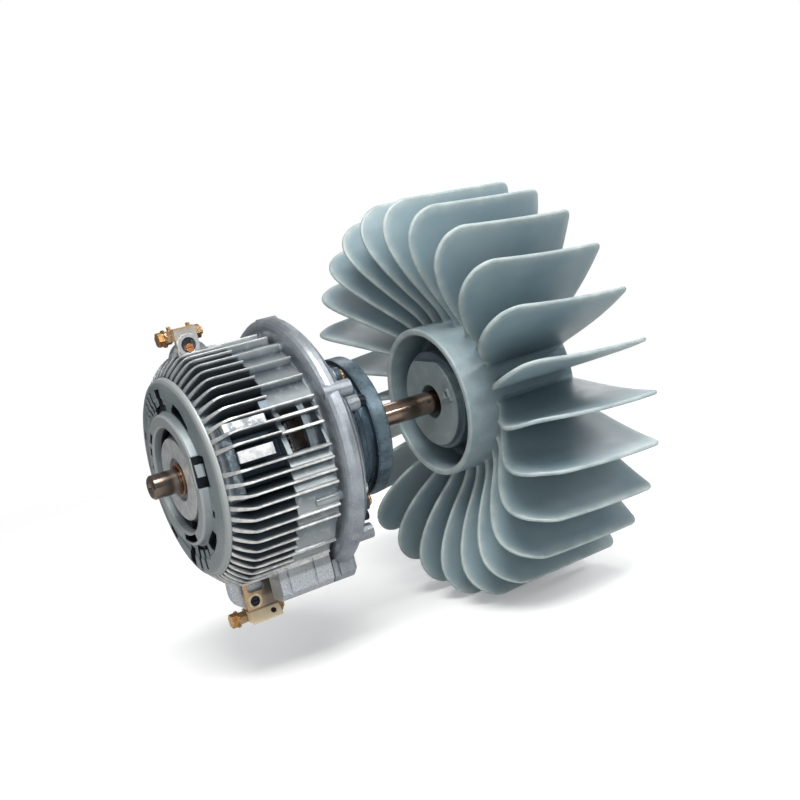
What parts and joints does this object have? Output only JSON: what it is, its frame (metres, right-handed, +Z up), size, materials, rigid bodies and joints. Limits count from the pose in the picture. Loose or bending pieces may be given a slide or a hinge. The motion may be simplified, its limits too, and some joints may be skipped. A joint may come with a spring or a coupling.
{
  "type": "air purifier fan assembly",
  "caption": "Finned brush motor with a vented front shield, foot and terminal brackets, driving a moulded radial-blade impeller on its long rear shaft.",
  "frame": {"origin": "on the shaft axis, at the shoulder of the round spigot on the bearing housing", "axes": "+X along the shaft from the motor towards the impeller, +Z up, away from the motor's foot, +Y completes a right-handed set"},
  "size_m": [0.2645, 0.2553, 0.2549],
  "materials": {
    "cast_bright": "die-cast aluminium, bright machined fin tops, satin blue-grey flanks",
    "cast_matte": "matt die-cast aluminium, blasted",
    "cast_blue_grey": "satin blue-grey casting",
    "cast_grainy": "sand-cast aluminium, fine grain",
    "seal_rubber": "matt black",
    "spring_steel": "bright spring steel",
    "zinc_screws": "bright zinc plated",
    "black_steel": "black oxide",
    "copper_plated": "copper-coloured plating",
    "gold_zinc": "yellow passivated zinc sheet",
    "lamination_steel": "stacked laminations",
    "ferrite": "dark grey ferrite",
    "phenolic": "brown phenolic",
    "holder_tin": "stamped and tin-plated sheet",
    "carbon": "graphite block",
    "bearing_steel": "ground",
    "cage_polymer": "moulded polyamide",
    "shaft_steel": "turned steel with a brown oil film",
    "bronze": "bronze wire ring",
    "winding_copper": "enamelled copper wire",
    "commutator_copper": "turned copper bars, browned by use",
    "fan_plastic": "satin grey-green moulded plastic"
  },
  "bodies": {
    "frame": {"motor_casing": "cast_bright", "front_shield": "cast_matte", "front_bearing_cap": "cast_blue_grey", "front_shaft_seal": "seal_rubber", "rear_end_shield": "cast_grainy", "bearing_housing": "cast_blue_grey", "rear_shaft_seal": "seal_rubber", "wave_washer": "spring_steel", "shield_screws": "zinc_screws", "shield_screw_washers": "zinc_screws", "brush_ring_screws": "black_steel", "housing_screws": "copper_plated", "top_bracket": "gold_zinc", "bottom_bracket": "gold_zinc", "tab_screw": "copper_plated", "bracket_eyelets": "zinc_screws", "bracket_screws": "copper_plated", "bracket_bolts": "copper_plated", "bracket_nuts": "gold_zinc", "bracket_washers": "gold_zinc", "field_yoke": "lamination_steel", "field_magnets": "ferrite", "brush_ring": "phenolic", "brush_holders": "holder_tin", "carbon_brushes": "carbon", "brush_springs": "spring_steel", "brush_holder_screws": "zinc_screws", "front_bearing_outer_race": "bearing_steel", "rear_bearing_outer_race": "bearing_steel"},
    "rotor": {"shaft": "shaft_steel", "front_snap_ring": "bronze", "armature_core": "lamination_steel", "armature_windings": "winding_copper", "commutator": "commutator_copper", "front_bearing_inner_race": "bearing_steel", "rear_bearing_inner_race": "bearing_steel", "impeller_hub": "fan_plastic", "impeller_boss": "fan_plastic", "impeller_blades": "fan_plastic", "hub_bush": "zinc_screws", "fan_key": "black_steel", "fan_end_washer": "zinc_screws", "fan_lock_nut": "zinc_screws"},
    "front_ball_set": {"front_bearing_balls": "bearing_steel", "front_bearing_cage": "cage_polymer"},
    "rear_ball_set": {"rear_bearing_balls": "bearing_steel", "rear_bearing_cage": "cage_polymer"}
  },
  "joints": [
    {"name": "rotor_spin", "type": "hinge", "parent": "frame", "child": "rotor", "pos_m": [0, 0, 0], "axis": [1, 0, 0], "continuous": true},
    {"name": "front_ball_roll", "type": "hinge", "parent": "frame", "child": "front_ball_set", "pos_m": [-0.0953, 0, 0], "axis": [1, 0, 0], "continuous": true},
    {"name": "rear_ball_roll", "type": "hinge", "parent": "frame", "child": "rear_ball_set", "pos_m": [0.00205, 0, 0], "axis": [1, 0, 0], "continuous": true}
  ],
  "couplings": [
    {"joint": "front_ball_roll", "follows": "rotor_spin", "ratio": 0.382},
    {"joint": "rear_ball_roll", "follows": "rotor_spin", "ratio": 0.379}
  ]
}
